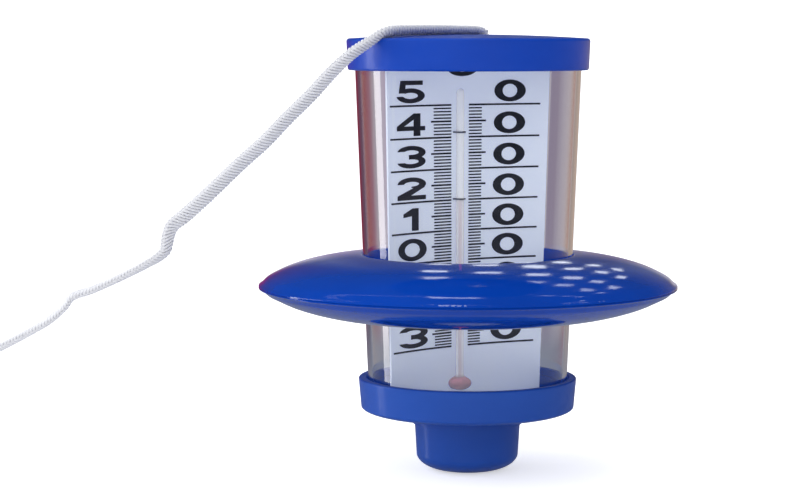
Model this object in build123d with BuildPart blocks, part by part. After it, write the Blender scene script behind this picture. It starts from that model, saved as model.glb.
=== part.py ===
from build123d import *
import os
from math import asin, cos, radians, sin, sqrt

os.makedirs("parts", exist_ok=True)

# Floating pool thermometer, in millimetres.
# The tube's axis is Z, z = 0 is the flat bottom of the nose, and the scale card faces -Y.

# ---- clear tube: a cone that widens upwards -------------------------------------------------
TUBE_BOTTOM_Z = 24.0
TUBE_TOP_Z = 147.0
TUBE_BOTTOM_R = 34.36
TUBE_TAPER = 0.0409  # radius gained per millimetre of height
TUBE_WALL = 1.5
GLUE_GAP = 0.05  # between the tube and the cap or cup that is glued to it

# ---- top cap --------------------------------------------------------------------------------
CAP_SKIRT_Z = 139.3  # lower edge of the skirt
CAP_SKIRT_R = 41.6
CAP_EDGE_Z = 150.2  # where the side would meet the domed top
CAP_EDGE_R = 42.1
CAP_TOP_Z = 151.6
CAP_EDGE_ROUND = 1.1
CAP_SKIRT_ROUND = 0.8
CAP_ROOF_Z = 148.2  # underside of the roof
PLUG_RING_R = 37.7  # the ring under the roof that fits inside the tube
PLUG_RING_WALL = 1.2
PLUG_RING_Z = 144.2

# ---- cord hole, and the pocket that hides the cord's knot ------------------------------------
CORD_X = 6.2  # the hole stands a little off the axis
CORD_HOLE_R = 2.7
POCKET_R = 4.6
POCKET_ROOF_Z = 149.9
POCKET_WALL = 2.4
CORD_PLUG_Z = 144.6
CORD_PLUG_THICK = 1.2
CORD_PLUG_GAP = 0.02
KNOT_R = 4.2
NECK_R = 2.1
NECK_TOP_Z = 151.45

# ---- bottom cap: a cup with a hollow nose ----------------------------------------------------
RIM_Z = 32.7
RIM_R = 38.0
RIM_BORE_R = 35.3
RIM_BORE_DEPTH = 2.5
RIM_ROUND = 0.6
CUP_TURN_Z = 22.6  # where the cup's side turns in towards the nose
CUP_TURN_R = 37.1
CUP_TURN_WIDTH = 9.0
CUP_UNDERSIDE_Z = 20.2
CUP_FLOOR_Z = 22.0
CUP_BORE_R = 32.2
LEDGE_Z = 22.8  # the tube's seal sits on this ledge
NOSE_COLLAR_R = 19.1
NOSE_COLLAR_Z = 16.5
NOSE_TOP_R = 18.4
NOSE_TURN_Z = 5.9
NOSE_TURN_R = 17.75
NOSE_FLAT_R = 6.5
WELL_R = 15.0
WELL_BOTTOM_Z = 3.0
WELL_STEP_R = 15.9
WELL_STEP_Z = 13.0
BALLAST_GAP = 0.3
BALLAST_CHAMFER = 0.6
COVER_THICK = 2.0
COVER_GAP = 0.02

# ---- scale card: a thin sheet bowed about a vertical axis in front of it ----------------------
CARD_BOTTOM_Z = 23.0
CARD_TOP_Z = 144.3
CARD_BOW_R = 108.6
CARD_BACK_Y = 4.5  # the card's middle stands this far behind the tube's axis
CARD_THICK = 0.8
CARD_HALF_WIDTH = 33.0  # at CARD_REF_Z
CARD_REF_Z = 43.0
CARD_TAPER = 0.028
SLOT_GAP = 0.1
LUG_LENGTH = 6.0
LUG_DEPTH = 5.0
UPPER_LUG_X = 30.5
UPPER_LUG_Z = 141.5
LOWER_LUG_X = 27.5
LOWER_LUG_Z = 25.7
BULB_HOLE_HALF = 4.0  # the bulb sits in a hole a little smaller than itself
BULB_HOLE_HALF_H = 2.36
SHEET_REACH = 20.0  # long enough to cut or extrude through the bowed card
SHEET_SPAN = 80.0  # wider than the card

# ---- print on the card -----------------------------------------------------------------------
INK_THICK = 0.12
ZERO_Z = 73.3  # height of the 0 degree line
DEGREE_STEP = 1.0321
DEGREE_GROWTH = 0.000958  # the spirit expands a little more for each warmer degree
LOWEST_DEGREE = -30
HIGHEST_DEGREE = 50
TICK_THICK = 0.48
LONG_TICK_THICK = 0.62
# ticks and lines, as fractions of the card's half width at their height
TICK_LEFT = (-0.121, -0.350)
HALF_TICK_LEFT = (-0.121, -0.387)
LINE_LEFT = (-0.121, -0.962)
TICK_RIGHT = (0.099, 0.254)
HALF_TICK_RIGHT = (0.099, 0.305)
LINE_RIGHT = (0.099, 0.908)
TENS_AT = -0.668
UNITS_AT = 0.576
DIGIT_LIFT = 0.9
DIGIT_H = 7.7
TENS_W = 14.0
UNITS_W = 12.4
UPRIGHT_STROKE = 3.3
LEVEL_STROKE = 1.5
UNIT_MARK_Z = 140.5
UNIT_MARK_X = 0.5
UNIT_MARK_W = 14.0
UNIT_MARK_H = 6.6

# ---- capillary and spirit --------------------------------------------------------------------
STEM_X = -1.3
STEM_R = 1.4
STEM_TOP_Z = 133.1
STEM_GAP = 0.05  # between the stem and the card
BORE_R = 0.45
BORE_TOP_Z = 131.0
BULB_Z = 30.2
BULB_R = 4.1
BULB_HALF_H = 2.4
BULB_WALL = 0.8
SPIRIT_GAP = 0.03
SPIRIT_NECK_Z = 34.0  # top of the spirit that never moves
REST_DEGREE = 20
TIP_H = 0.6
TIE_WIRE_R = 0.28
TIE_GAP = 0.04
TIE_HOLE_R = 0.42
TIE_BEND_R = 0.7
TIE_BACK_Y = 1.1  # how far behind the card's middle line the wire lies
TIE_HEIGHTS = (94.7, 117.9)

# ---- ring float ------------------------------------------------------------------------------
FLOAT_Z = 64.6  # the weld plane between the two shells
FLOAT_R = 72.7
FLOAT_RISE = 11.6
FLOAT_FLATNESS = 4  # how late the surface turns down towards its edge
UPPER_ROUNDNESS = 0.73
LOWER_ROUNDNESS = 0.85
FLOAT_WALL = 1.8
FLOAT_BORE_GAP = 0.08
FLOAT_BORE_ROUND = 0.8
COLLAR_WALL = 4.0
SEAM_CUT = 0.3
GRIP_R = 1.2  # section radius of the rubber ring
GRIP_GAP = 0.04
GROOVE_HALF = 1.26

# ---- cord ------------------------------------------------------------------------------------
CORD_R = 1.3
CORD_START_Z = 153.05
CORD_BEND_R = 4.0
CORD_OVER_CAP = (-40.0, -5.85, 152.8)
CORD_OFF_RIM = ((-45.2, -4.95, 149.25), (-51.8, -2.65, 144.6))
# the hanging length lies in one upright plane: its heading, its distance from the axis,
# and its points as (run along the heading, z)
CORD_HEADING = 142.0
CORD_PLANE_OFFSET = 34.0
CORD_HANG = (
    (45.4, 138.8),
    (98.5, 88.0),
    (101.0, 79.7),
    (109.0, 74.2),
    (132.4, 64.0),
    (140.4, 55.4),
    (163.0, 44.0),
)


def tube_radius(z):
    """Outer radius of the clear tube at a height."""
    return TUBE_BOTTOM_R + TUBE_TAPER * (z - TUBE_BOTTOM_Z)


def card_half_width(z):
    """Half the card's width at a height."""
    return CARD_HALF_WIDTH + CARD_TAPER * (z - CARD_REF_Z)


def card_y(x):
    """Depth of the card's middle surface at a distance x from its middle."""
    return CARD_BACK_Y - CARD_BOW_R + sqrt(CARD_BOW_R**2 - x**2)


def degree_z(degree):
    """Height of a temperature's line on the card."""
    return ZERO_Z + DEGREE_STEP * degree + DEGREE_GROWTH * degree**2


def float_height(r, outer_r, rise, roundness):
    """Height of the float's surface above its weld plane at a radius."""
    return rise * (1 - (r / outer_r) ** FLOAT_FLATNESS) ** roundness


def corner(sketch, x, y):
    """The sketch's corner nearest a point."""
    return sketch.vertices().sort_by_distance((x, y))[0]


BOW_CENTRE_Y = CARD_BACK_Y - CARD_BOW_R
STEM_Y = card_y(STEM_X) - CARD_THICK / 2 - STEM_GAP - STEM_R
REST_Z = degree_z(REST_DEGREE)


# ---- clear_tube ------------------------------------------------------------------------------
with BuildPart() as clear_tube:
    with BuildSketch(Plane.XZ):
        with BuildLine():
            Polyline(
                (tube_radius(TUBE_BOTTOM_Z), TUBE_BOTTOM_Z),
                (tube_radius(TUBE_TOP_Z), TUBE_TOP_Z),
                (tube_radius(TUBE_TOP_Z) - TUBE_WALL, TUBE_TOP_Z),
                (tube_radius(TUBE_BOTTOM_Z) - TUBE_WALL, TUBE_BOTTOM_Z),
                close=True,
            )
        make_face()
    revolve(axis=Axis.Z)


# ---- top_cap ---------------------------------------------------------------------------------
LUG_ROOT = 0.5  # how far a lug or boss runs into the wall it grows from
DOME_RISE = CAP_TOP_Z - CAP_EDGE_Z
DOME_R = (CAP_EDGE_R**2 + DOME_RISE**2) / (2 * DOME_RISE)
DOME_ANGLE = asin(CAP_EDGE_R / DOME_R)  # from the top to the edge, at the dome's centre

with BuildPart() as top_cap:
    with BuildSketch(Plane.XZ) as cap_section:
        with BuildLine():
            cap_side = Line((CAP_SKIRT_R, CAP_SKIRT_Z), (CAP_EDGE_R, CAP_EDGE_Z))
            dome_mid = (DOME_R * sin(DOME_ANGLE / 2), CAP_TOP_Z - DOME_R * (1 - cos(DOME_ANGLE / 2)))
            cap_dome = ThreePointArc(cap_side @ 1, dome_mid, (0, CAP_TOP_Z))
            Polyline(
                cap_dome @ 1,
                (0, CAP_ROOF_Z),
                (PLUG_RING_R - PLUG_RING_WALL, CAP_ROOF_Z),
                (PLUG_RING_R - PLUG_RING_WALL, PLUG_RING_Z),
                (PLUG_RING_R, PLUG_RING_Z),
                (PLUG_RING_R, CAP_ROOF_Z),
                (tube_radius(TUBE_TOP_Z) + GLUE_GAP, CAP_ROOF_Z),
                (tube_radius(TUBE_TOP_Z) + GLUE_GAP, TUBE_TOP_Z),
                (tube_radius(CAP_SKIRT_Z) + GLUE_GAP, CAP_SKIRT_Z),
                cap_side @ 0,
            )
        make_face()
        fillet(corner(cap_section, CAP_EDGE_R, CAP_EDGE_Z), CAP_EDGE_ROUND)
        fillet(corner(cap_section, CAP_SKIRT_R, CAP_SKIRT_Z), CAP_SKIRT_ROUND)
    revolve(axis=Axis.Z)
    # the boss round the knot's pocket, and the two slotted lugs for the card's upper corners
    with BuildSketch(Plane.XY.offset(CORD_PLUG_Z)):
        with Locations((CORD_X, 0)):
            Circle(POCKET_R + POCKET_WALL)
    extrude(amount=CAP_ROOF_Z - CORD_PLUG_Z + LUG_ROOT)
    with BuildSketch(Plane.XY.offset(UPPER_LUG_Z)):
        with Locations((-UPPER_LUG_X, card_y(UPPER_LUG_X)), (UPPER_LUG_X, card_y(UPPER_LUG_X))):
            Rectangle(LUG_LENGTH, LUG_DEPTH)
    extrude(amount=CAP_ROOF_Z - UPPER_LUG_Z + LUG_ROOT)
    with BuildSketch(Plane.XY.offset(UPPER_LUG_Z)):
        with Locations((0, BOW_CENTRE_Y)):
            Circle(CARD_BOW_R + CARD_THICK / 2 + SLOT_GAP)
            Circle(CARD_BOW_R - CARD_THICK / 2 - SLOT_GAP, mode=Mode.SUBTRACT)
        Rectangle(2 * (UPPER_LUG_X + LUG_LENGTH / 2 + LUG_ROOT), SHEET_REACH, mode=Mode.INTERSECT)
    extrude(amount=CARD_TOP_Z + SLOT_GAP - UPPER_LUG_Z, mode=Mode.SUBTRACT)
    # the cord's hole and the knot's pocket
    with BuildSketch(Plane.XY.offset(CORD_PLUG_Z)):
        with Locations((CORD_X, 0)):
            Circle(POCKET_R)
    extrude(amount=POCKET_ROOF_Z - CORD_PLUG_Z, mode=Mode.SUBTRACT)
    with BuildSketch(Plane.XY.offset(CORD_PLUG_Z)):
        with Locations((CORD_X, 0)):
            Circle(CORD_HOLE_R)
    extrude(amount=CAP_TOP_Z - CORD_PLUG_Z, mode=Mode.SUBTRACT)


# ---- top_seal: flat rubber ring between the tube's upper end and the cap's roof ---------------
SEAL_MARGIN = 0.1

with BuildPart() as top_seal:
    with BuildSketch(Plane.XY.offset(TUBE_TOP_Z)):
        Circle(tube_radius(TUBE_TOP_Z) - SEAL_MARGIN)
        Circle(PLUG_RING_R + SEAL_MARGIN, mode=Mode.SUBTRACT)
    extrude(amount=CAP_ROOF_Z - TUBE_TOP_Z)


# ---- bottom_cap ------------------------------------------------------------------------------
with BuildPart() as bottom_cap:
    with BuildSketch(Plane.XZ) as cup_section:
        with BuildLine():
            rim_inside = Line((RIM_BORE_R, RIM_Z - RIM_BORE_DEPTH), (RIM_BORE_R, RIM_Z))
            rim_top = Line(rim_inside @ 1, (RIM_R, RIM_Z))
            cup_side = Line(rim_top @ 1, (CUP_TURN_R, CUP_TURN_Z))
            cup_turn = EllipticalCenterArc(
                (CUP_TURN_R - CUP_TURN_WIDTH, CUP_TURN_Z),
                CUP_TURN_WIDTH,
                CUP_TURN_Z - CUP_UNDERSIDE_Z,
                start_angle=270,
                arc_size=90,
            )
            Polyline(
                (CUP_TURN_R - CUP_TURN_WIDTH, CUP_UNDERSIDE_Z),
                (NOSE_COLLAR_R, CUP_UNDERSIDE_Z),
                (NOSE_COLLAR_R, NOSE_COLLAR_Z),
                (NOSE_TOP_R, NOSE_COLLAR_Z),
                (NOSE_TURN_R, NOSE_TURN_Z),
            )
            nose_turn = EllipticalCenterArc(
                (NOSE_FLAT_R, NOSE_TURN_Z),
                NOSE_TURN_R - NOSE_FLAT_R,
                NOSE_TURN_Z,
                start_angle=270,
                arc_size=90,
            )
            Polyline(
                (NOSE_FLAT_R, 0),
                (0, 0),
                (0, WELL_BOTTOM_Z),
                (WELL_R, WELL_BOTTOM_Z),
                (WELL_R, WELL_STEP_Z),
                (WELL_STEP_R, WELL_STEP_Z),
                (WELL_STEP_R, CUP_FLOOR_Z),
                (CUP_BORE_R, CUP_FLOOR_Z),
                (CUP_BORE_R, LEDGE_Z),
                (tube_radius(TUBE_BOTTOM_Z) + GLUE_GAP, LEDGE_Z),
                (tube_radius(TUBE_BOTTOM_Z) + GLUE_GAP, TUBE_BOTTOM_Z),
                (tube_radius(RIM_Z - RIM_BORE_DEPTH) + GLUE_GAP, RIM_Z - RIM_BORE_DEPTH),
                rim_inside @ 0,
            )
        make_face()
        fillet(corner(cup_section, RIM_R, RIM_Z), RIM_ROUND)
        fillet(corner(cup_section, RIM_BORE_R, RIM_Z), RIM_ROUND / 2)
    revolve(axis=Axis.Z)
    # two slotted lugs for the card's lower corners
    with BuildSketch(Plane.XY.offset(CUP_FLOOR_Z - LUG_ROOT)):
        with Locations((-LOWER_LUG_X, card_y(LOWER_LUG_X)), (LOWER_LUG_X, card_y(LOWER_LUG_X))):
            Rectangle(LUG_LENGTH, LUG_DEPTH)
    extrude(amount=LOWER_LUG_Z - CUP_FLOOR_Z + LUG_ROOT)
    with BuildSketch(Plane.XY.offset(CARD_BOTTOM_Z)):
        with Locations((0, BOW_CENTRE_Y)):
            Circle(CARD_BOW_R + CARD_THICK / 2 + SLOT_GAP)
            Circle(CARD_BOW_R - CARD_THICK / 2 - SLOT_GAP, mode=Mode.SUBTRACT)
        Rectangle(2 * (LOWER_LUG_X + LUG_LENGTH / 2 + LUG_ROOT), SHEET_REACH, mode=Mode.INTERSECT)
    extrude(amount=LOWER_LUG_Z - CARD_BOTTOM_Z, mode=Mode.SUBTRACT)


# ---- bottom_seal: flat rubber ring between the tube's lower end and the cup's ledge ------------
with BuildPart() as bottom_seal:
    with BuildSketch(Plane.XY.offset(LEDGE_Z)):
        Circle(tube_radius(TUBE_BOTTOM_Z) - SEAL_MARGIN)
        Circle(tube_radius(TUBE_BOTTOM_Z) - TUBE_WALL + SEAL_MARGIN, mode=Mode.SUBTRACT)
    extrude(amount=TUBE_BOTTOM_Z - LEDGE_Z)


# ---- ballast_weight: the slug in the nose ------------------------------------------------------
with BuildPart() as ballast_weight:
    with BuildSketch(Plane.XY.offset(WELL_BOTTOM_Z)):
        Circle(WELL_R - BALLAST_GAP)
    extrude(amount=WELL_STEP_Z - WELL_BOTTOM_Z)
    chamfer(ballast_weight.edges().filter_by(GeomType.CIRCLE), BALLAST_CHAMFER)


# ---- ballast_cover: the disc that keeps the slug in its well -----------------------------------
with BuildPart() as ballast_cover:
    with BuildSketch(Plane.XY.offset(WELL_STEP_Z)):
        Circle(WELL_STEP_R - COVER_GAP)
    extrude(amount=COVER_THICK)
    chamfer(ballast_cover.faces().sort_by(Axis.Z)[-1].edges(), BALLAST_CHAMFER)


# ---- cord_knot: the cord's knotted end in its pocket, with the neck that fills the hole ---------
KNOT_BOTTOM_Z = CORD_PLUG_Z + CORD_PLUG_THICK
KNOT_TOP_Z = POCKET_ROOF_Z - SLOT_GAP

with BuildPart() as cord_knot:
    with BuildSketch(Plane.XZ) as knot_section:
        with Locations((CORD_X, (KNOT_BOTTOM_Z + KNOT_TOP_Z) / 2)):
            Ellipse(KNOT_R, (KNOT_TOP_Z - KNOT_BOTTOM_Z) / 2)
        with Locations((CORD_X, NECK_TOP_Z)):
            Rectangle(2 * NECK_R, NECK_TOP_Z - KNOT_BOTTOM_Z - KNOT_R / 2, align=(Align.CENTER, Align.MAX))
        with Locations((CORD_X, KNOT_BOTTOM_Z)):
            Rectangle(KNOT_R, SHEET_REACH, align=(Align.MIN, Align.MIN), mode=Mode.INTERSECT)
    revolve(axis=Axis((CORD_X, 0, 0), (0, 0, 1)))


# ---- cord_plug: the disc that seals the knot's pocket ------------------------------------------
with BuildPart() as cord_plug:
    with BuildSketch(Plane.XY.offset(CORD_PLUG_Z)):
        with Locations((CORD_X, 0)):
            Circle(POCKET_R - CORD_PLUG_GAP)
    extrude(amount=CORD_PLUG_THICK)


# ---- scale_card ---------------------------------------------------------------------------------
TIE_X = STEM_R + TIE_GAP + TIE_WIRE_R  # each leg's distance from the stem's middle

with BuildPart() as scale_card:
    with BuildSketch(Plane.XZ.offset(-SHEET_REACH / 2)):
        with BuildLine():
            Polyline(
                (-card_half_width(CARD_BOTTOM_Z), CARD_BOTTOM_Z),
                (card_half_width(CARD_BOTTOM_Z), CARD_BOTTOM_Z),
                (card_half_width(CARD_TOP_Z), CARD_TOP_Z),
                (-card_half_width(CARD_TOP_Z), CARD_TOP_Z),
                close=True,
            )
        make_face()
        with Locations((STEM_X, BULB_Z)):
            Ellipse(BULB_HOLE_HALF, BULB_HOLE_HALF_H, mode=Mode.SUBTRACT)
        with Locations([(STEM_X + side * TIE_X, z) for side in (-1, 1) for z in TIE_HEIGHTS]):
            Circle(TIE_HOLE_R, mode=Mode.SUBTRACT)
    extrude(amount=SHEET_REACH)
    with BuildSketch(Plane.XY.offset(CARD_BOTTOM_Z)):
        with Locations((0, BOW_CENTRE_Y)):
            Circle(CARD_BOW_R + CARD_THICK / 2)
            Circle(CARD_BOW_R - CARD_THICK / 2, mode=Mode.SUBTRACT)
        Rectangle(SHEET_SPAN, SHEET_REACH, mode=Mode.INTERSECT)
    extrude(amount=CARD_TOP_Z - CARD_BOTTOM_Z, mode=Mode.INTERSECT)


# ---- scale_print: lines and numbers on the card's front ------------------------------------------
def draw_bar(x_from, x_to, z, thick):
    """A level bar between two places on the card."""
    with Locations(((x_from + x_to) / 2, z)):
        Rectangle(abs(x_to - x_from), thick)


def draw_ring(width, height):
    """An oval ring with thick sides and a thinner top and bottom."""
    Ellipse(width / 2, height / 2)
    Ellipse(width / 2 - UPRIGHT_STROKE, height / 2 - LEVEL_STROKE, mode=Mode.SUBTRACT)


def sketch_zero(width):
    """The digit 0, standing on y = 0."""
    with BuildSketch() as digit:
        with Locations((0, DIGIT_H / 2)):
            draw_ring(width, DIGIT_H)
    return digit.sketch


def sketch_one(width):
    """The digit 1: an upright with a flag."""
    with BuildSketch() as digit:
        with BuildLine():
            Polyline(
                (0, 0),
                (0, 0.66 * DIGIT_H),
                (-0.30 * width, 0.60 * DIGIT_H),
                (-0.30 * width, 0.76 * DIGIT_H),
                (0.02 * width, DIGIT_H),
                (UPRIGHT_STROKE, DIGIT_H),
                (UPRIGHT_STROKE, 0),
                close=True,
            )
        make_face()
    return digit.sketch


def sketch_two(width):
    """The digit 2: a hook, a slanted stroke and a foot."""
    bowl_h = 0.60 * DIGIT_H
    with BuildSketch() as digit:
        with Locations((0, DIGIT_H - bowl_h / 2)):
            draw_ring(width, bowl_h)
        with Locations((0, DIGIT_H - bowl_h / 2)):
            Rectangle(width / 2, bowl_h / 2, align=(Align.MAX, Align.MAX), mode=Mode.SUBTRACT)
        with Locations((0, DIGIT_H - 0.78 * bowl_h)):
            Rectangle(width / 2, bowl_h / 2, align=(Align.MIN, Align.MAX), mode=Mode.SUBTRACT)
        with BuildLine():
            Polyline(
                (-width / 2, 0),
                (-width / 2, LEVEL_STROKE),
                (0.08 * width, 0.53 * DIGIT_H),
                (0.47 * width, 0.56 * DIGIT_H),
                (-0.02 * width, LEVEL_STROKE),
                (width / 2, LEVEL_STROKE),
                (width / 2, 0),
                close=True,
            )
        make_face()
    return digit.sketch


def sketch_three(width):
    """The digit 3: two bowls, open on the left."""
    bowl_h = DIGIT_H / 2 + LEVEL_STROKE / 2
    with BuildSketch() as digit:
        with Locations((0, bowl_h / 2), (0, DIGIT_H - bowl_h / 2)):
            Ellipse(width / 2, bowl_h / 2)
        with Locations((0, bowl_h / 2), (0, DIGIT_H - bowl_h / 2)):
            Ellipse(width / 2 - UPRIGHT_STROKE, bowl_h / 2 - LEVEL_STROKE, mode=Mode.SUBTRACT)
        with Locations((-0.08 * width, DIGIT_H / 2)):
            Rectangle(width / 2, DIGIT_H / 2, align=(Align.MAX, Align.CENTER), mode=Mode.SUBTRACT)
    return digit.sketch


def sketch_four(width):
    """The digit 4: a slant, a crossbar and an upright."""
    bar_z = 0.24 * DIGIT_H
    upright_x = 0.10 * width
    with BuildSketch() as digit:
        with BuildLine():
            Polyline(
                (upright_x, 0),
                (upright_x, bar_z),
                (-width / 2, bar_z),
                (-width / 2, bar_z + LEVEL_STROKE),
                (upright_x, DIGIT_H),
                (upright_x + UPRIGHT_STROKE, DIGIT_H),
                (upright_x + UPRIGHT_STROKE, bar_z + LEVEL_STROKE),
                (width / 2, bar_z + LEVEL_STROKE),
                (width / 2, bar_z),
                (upright_x + UPRIGHT_STROKE, bar_z),
                (upright_x + UPRIGHT_STROKE, 0),
                close=True,
            )
        make_face()
        with BuildLine():
            Polyline(
                (upright_x, bar_z + LEVEL_STROKE),
                (upright_x, DIGIT_H - 1.4 * LEVEL_STROKE),
                (-0.24 * width, bar_z + LEVEL_STROKE),
                close=True,
            )
        make_face(mode=Mode.SUBTRACT)
    return digit.sketch


def sketch_five(width):
    """The digit 5: a roof, a short upright and a bowl."""
    bowl_h = 0.66 * DIGIT_H
    with BuildSketch() as digit:
        with Locations((0, bowl_h / 2)):
            draw_ring(width, bowl_h)
        with Locations((-0.20 * width, 0.30 * DIGIT_H)):
            Rectangle(width / 2, DIGIT_H / 2, align=(Align.MAX, Align.MIN), mode=Mode.SUBTRACT)
        with BuildLine():
            Polyline(
                (-0.42 * width, 0.44 * DIGIT_H),
                (-0.36 * width, DIGIT_H),
                (0.43 * width, DIGIT_H),
                (0.43 * width, DIGIT_H - LEVEL_STROKE),
                (-0.17 * width, DIGIT_H - LEVEL_STROKE),
                (-0.20 * width, 0.50 * DIGIT_H),
                (-0.20 * width, 0.44 * DIGIT_H),
                close=True,
            )
        make_face()
    return digit.sketch


SKETCH_DIGIT = [sketch_zero, sketch_one, sketch_two, sketch_three, sketch_four, sketch_five]

with BuildPart() as scale_print:
    with BuildSketch(Plane.XZ.offset(-SHEET_REACH / 2)) as ink:
        for degree in range(LOWEST_DEGREE, HIGHEST_DEGREE + 1):
            z = degree_z(degree)
            half = card_half_width(z)
            if degree % 10 == 0:
                spans, thick = (LINE_LEFT, LINE_RIGHT), LONG_TICK_THICK
            elif degree % 5 == 0:
                spans, thick = (HALF_TICK_LEFT, HALF_TICK_RIGHT), LONG_TICK_THICK
            else:
                spans, thick = (TICK_LEFT, TICK_RIGHT), TICK_THICK
            for start, end in spans:
                draw_bar(start * half, end * half, z, thick)
        for degree in range(LOWEST_DEGREE, HIGHEST_DEGREE + 1, 10):
            z = degree_z(degree)
            half = card_half_width(z)
            tens_digit = SKETCH_DIGIT[abs(degree) // 10](TENS_W)
            with Locations((TENS_AT * half, z + DIGIT_LIFT)):
                add(tens_digit)
            units_digit = sketch_zero(UNITS_W)
            with Locations((UNITS_AT * half, z + DIGIT_LIFT)):
                add(units_digit)
        # the unit mark for degrees Celsius, half hidden by the top cap
        with Locations((UNIT_MARK_X, UNIT_MARK_Z)):
            draw_ring(UNIT_MARK_W, UNIT_MARK_H)
        with Locations((UNIT_MARK_X, UNIT_MARK_Z)):
            Rectangle(UNIT_MARK_W, UNIT_MARK_H / 3, align=(Align.MIN, Align.CENTER), mode=Mode.SUBTRACT)
    extrude(amount=SHEET_REACH)
    with BuildSketch(Plane.XY.offset(CARD_BOTTOM_Z)):
        with Locations((0, BOW_CENTRE_Y)):
            Circle(CARD_BOW_R - CARD_THICK / 2)
            Circle(CARD_BOW_R - CARD_THICK / 2 - INK_THICK, mode=Mode.SUBTRACT)
        Rectangle(SHEET_SPAN, SHEET_REACH, mode=Mode.INTERSECT)
    extrude(amount=CARD_TOP_Z - CARD_BOTTOM_Z, mode=Mode.INTERSECT)


# ---- capillary_glass: a closed stem over a squat bulb, hollow all the way ------------------------
STEM_PLANE = Plane(origin=(STEM_X, STEM_Y, 0), x_dir=(1, 0, 0), z_dir=(0, -1, 0))
STEM_AXIS = Axis((STEM_X, STEM_Y, 0), (0, 0, 1))

with BuildPart() as capillary_glass:
    with BuildSketch(STEM_PLANE) as stem_section:
        with Locations((0, BULB_Z)):
            Ellipse(BULB_R, BULB_HALF_H)
            Rectangle(2 * STEM_R, STEM_TOP_Z - STEM_R - BULB_Z, align=(Align.CENTER, Align.MIN))
        with Locations((0, STEM_TOP_Z - STEM_R)):
            Circle(STEM_R)
        with Locations((0, BULB_Z)):
            Ellipse(BULB_R - BULB_WALL, BULB_HALF_H - BULB_WALL, mode=Mode.SUBTRACT)
            Rectangle(2 * BORE_R, BORE_TOP_Z - BULB_Z, align=(Align.CENTER, Align.MIN), mode=Mode.SUBTRACT)
        Rectangle(BULB_R, STEM_TOP_Z, align=(Align.MIN, Align.MIN), mode=Mode.INTERSECT)
    revolve(axis=STEM_AXIS)


# ---- spirit_bulb: the spirit that stays in the bulb and the neck ---------------------------------
with BuildPart() as spirit_bulb:
    with BuildSketch(STEM_PLANE):
        with Locations((0, BULB_Z)):
            Ellipse(BULB_R - BULB_WALL - SPIRIT_GAP, BULB_HALF_H - BULB_WALL - SPIRIT_GAP)
            Rectangle(2 * (BORE_R - SPIRIT_GAP), SPIRIT_NECK_Z - BULB_Z, align=(Align.CENTER, Align.MIN))
        Rectangle(BULB_R, STEM_TOP_Z, align=(Align.MIN, Align.MIN), mode=Mode.INTERSECT)
    revolve(axis=STEM_AXIS)


# ---- spirit_column and spirit_tip: the thread of spirit and its top ------------------------------
with BuildPart() as spirit_column:
    with BuildSketch(Plane.XY.offset(SPIRIT_NECK_Z)):
        with Locations((STEM_X, STEM_Y)):
            Circle(BORE_R - SPIRIT_GAP)
    extrude(amount=REST_Z - TIP_H - SPIRIT_NECK_Z)

with BuildPart() as spirit_tip:
    with BuildSketch(Plane.XY.offset(REST_Z - TIP_H)):
        with Locations((STEM_X, STEM_Y)):
            Circle(BORE_R - SPIRIT_GAP)
    extrude(amount=TIP_H)
    fillet(spirit_tip.faces().sort_by(Axis.Z)[-1].edges(), (BORE_R - SPIRIT_GAP) / 2)


# ---- capillary_ties: each wire goes round the stem and through the card ---------------------------
with BuildPart() as capillary_ties:
    for tie_z in TIE_HEIGHTS:
        back_y = CARD_BACK_Y + TIE_BACK_Y
        with BuildLine() as wire:
            left_end = (STEM_X - TIE_BEND_R / 2, back_y, tie_z)
            left_turn = (STEM_X - TIE_X + TIE_BEND_R, back_y, tie_z)
            left_bend_end = (STEM_X - TIE_X, back_y - TIE_BEND_R, tie_z)
            left_bend_mid = (
                STEM_X - TIE_X + TIE_BEND_R * (1 - cos(radians(45))),
                back_y - TIE_BEND_R * (1 - sin(radians(45))),
                tie_z,
            )
            Line(left_end, left_turn)
            ThreePointArc(left_turn, left_bend_mid, left_bend_end)
            Line(left_bend_end, (STEM_X - TIE_X, STEM_Y, tie_z))
            ThreePointArc(
                (STEM_X - TIE_X, STEM_Y, tie_z),
                (STEM_X, STEM_Y - TIE_X, tie_z),
                (STEM_X + TIE_X, STEM_Y, tie_z),
            )
            mirror(wire.edges().filter_by(lambda edge: edge.center().X < STEM_X - TIE_BEND_R / 4),
                   about=Plane.YZ.offset(STEM_X))
        with BuildSketch(Plane(origin=left_end, z_dir=(-1, 0, 0))):
            Circle(TIE_WIRE_R)
        sweep(path=wire.wires()[0])


# ---- float shells ---------------------------------------------------------------------------------
GRIP_CENTRE_R = tube_radius(FLOAT_Z) + GRIP_GAP + GRIP_R
GROOVE_R = GRIP_CENTRE_R + GRIP_R + GRIP_GAP
SURFACE_POINTS = 9  # points on each curved surface, closer together towards the edge


def surface_points(inner_r, outer_r, rise, roundness, side):
    """Points along a float surface, from the bore out to the edge, above or below the weld plane."""
    turns = [radians(90 * i / SURFACE_POINTS) for i in range(SURFACE_POINTS)]
    radii = [inner_r + (outer_r - inner_r) * sin(turn) for turn in turns]
    return [(r, FLOAT_Z + side * float_height(r, outer_r, rise, roundness)) for r in radii]


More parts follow.
